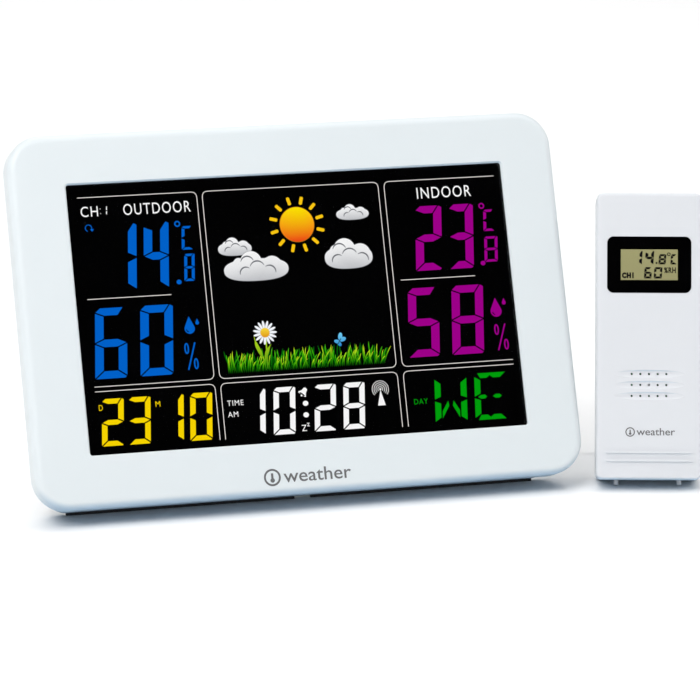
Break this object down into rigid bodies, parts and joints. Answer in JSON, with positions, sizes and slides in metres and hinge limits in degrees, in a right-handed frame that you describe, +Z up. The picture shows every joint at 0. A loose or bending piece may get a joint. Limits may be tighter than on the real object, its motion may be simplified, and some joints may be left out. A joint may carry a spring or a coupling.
{
  "type": "home weather station",
  "caption": "Desk weather display leaning on a fold-out stand, with a wide colour screen in a white case, and a slim cordless outdoor temperature and humidity sensor.",
  "frame": {"origin": "on the table, under the middle of the bounding box of console and sensor together", "axes": "+Z up, +X to the viewer's right along the console, -Y towards the viewer"},
  "size_m": [0.2542, 0.078, 0.1308],
  "materials": {
    "casing": "satin moulded white",
    "clear_pane": "clear and glossy",
    "display": "black liquid crystal glass",
    "light_guide": "clear acrylic",
    "frame": "white moulded frame",
    "board": "green board",
    "chip": "black package",
    "steel": "plated",
    "switch": "black switch",
    "ferrite": "dull dark ferrite",
    "copper": "enamelled copper wire",
    "cell": "wrapped dry cell",
    "rubber": "soft rubber",
    "grey_button": "satin white",
    "black_pane": "glossy black",
    "probe": "white probe cap",
    "strip": "silicone contact strip"
  },
  "bodies": {
    "console": {"front_cover": "casing", "rear_cover": "casing", "display_window": "clear_pane", "lcd_panel": "display", "light_guide": "light_guide", "backlight_strip": "board", "lcd_frame": "frame", "lcd_connector": "strip", "main_board": "board", "controller_chips": "chip", "board_screws": "steel", "tact_switches": "switch", "clock_antenna_rod": "ferrite", "clock_antenna_coil": "copper", "receiver_module": "board", "buzzer": "chip", "climate_sensor": "probe", "power_inlet": "switch", "battery_cells": "cell", "battery_springs": "steel", "battery_contacts": "steel", "rubber_feet": "rubber", "cover_screws": "steel"},
    "stand": {"stand": "casing", "stand_pad": "rubber"},
    "battery_door": {"battery_door": "casing"},
    "snooze_button": {"snooze_button": "grey_button"},
    "set_button": {"set_button": "grey_button"},
    "up_button": {"up_button": "grey_button"},
    "down_button": {"down_button": "grey_button"},
    "alert_button": {"alert_button": "grey_button"},
    "channel_button": {"channel_button": "grey_button"},
    "unit_button": {"unit_button": "grey_button"},
    "sensor": {"sensor_front_cover": "casing", "sensor_rear_cover": "casing", "sensor_window": "black_pane", "sensor_lcd": "display", "sensor_lcd_connector": "strip", "sensor_board": "board", "sensor_chips": "chip", "sensor_antenna": "copper", "humidity_probe": "probe", "sensor_switches": "switch", "sensor_battery_cells": "cell", "sensor_battery_springs": "steel", "sensor_battery_contacts": "steel", "sensor_cover_screws": "steel"},
    "sensor_stand": {"sensor_stand": "casing"},
    "sensor_battery_door": {"sensor_battery_door": "casing"},
    "channel_slider": {"channel_slider": "switch"},
    "send_button": {"send_button": "grey_button"}
  },
  "joints": [
    {"name": "stand_fold", "type": "hinge", "parent": "console", "child": "stand", "pos_m": [-0.02713, 0.01777, 0.06745], "axis": [1, 0, 0], "range_deg": [-33.16, 0]},
    {"name": "battery_door_lift", "type": "slide", "parent": "console", "child": "battery_door", "axis": [0, 0.9336, -0.3584], "range_m": [0, 0.04]},
    {"name": "snooze_press", "type": "slide", "parent": "console", "child": "snooze_button", "axis": [0, -0.3584, -0.9336], "range_m": [0, 0.0008], "stiffness_N_per_m": 600, "springref_m": -0.0005},
    {"name": "set_press", "type": "slide", "parent": "console", "child": "set_button", "axis": [0, -0.9336, 0.3584], "range_m": [0, 0.0008], "stiffness_N_per_m": 500, "springref_m": -0.0005},
    {"name": "up_press", "type": "slide", "parent": "console", "child": "up_button", "axis": [0, -0.9336, 0.3584], "range_m": [0, 0.0008], "stiffness_N_per_m": 500, "springref_m": -0.0005},
    {"name": "down_press", "type": "slide", "parent": "console", "child": "down_button", "axis": [0, -0.9336, 0.3584], "range_m": [0, 0.0008], "stiffness_N_per_m": 500, "springref_m": -0.0005},
    {"name": "alert_press", "type": "slide", "parent": "console", "child": "alert_button", "axis": [0, -0.9336, 0.3584], "range_m": [0, 0.0008], "stiffness_N_per_m": 500, "springref_m": -0.0005},
    {"name": "channel_press", "type": "slide", "parent": "console", "child": "channel_button", "axis": [0, -0.9336, 0.3584], "range_m": [0, 0.0008], "stiffness_N_per_m": 500, "springref_m": -0.0005},
    {"name": "unit_press", "type": "slide", "parent": "console", "child": "unit_button", "axis": [0, -0.9336, 0.3584], "range_m": [0, 0.0008], "stiffness_N_per_m": 500, "springref_m": -0.0005},
    {"name": "sensor_lift", "type": "slide", "parent": "console", "child": "sensor", "axis": [0, 0, 1], "range_m": [0, 0.15]},
    {"name": "sensor_stand_fold", "type": "hinge", "parent": "sensor", "child": "sensor_stand", "pos_m": [0.10639, 0.00479, 0.07399], "axis": [0.9542, -0.299, 0], "range_deg": [-28.35, 0]},
    {"name": "sensor_battery_door_lift", "type": "slide", "parent": "sensor", "child": "sensor_battery_door", "axis": [0.2867, 0.9149, -0.284], "range_m": [0, 0.025]},
    {"name": "channel_slide", "type": "slide", "parent": "sensor", "child": "channel_slider", "axis": [0.9542, -0.299, 0], "range_m": [0, 0.006]},
    {"name": "send_press", "type": "slide", "parent": "sensor", "child": "send_button", "axis": [-0.2867, -0.9149, 0.284], "range_m": [0, 0.0008], "stiffness_N_per_m": 400, "springref_m": -0.0005}
  ]
}
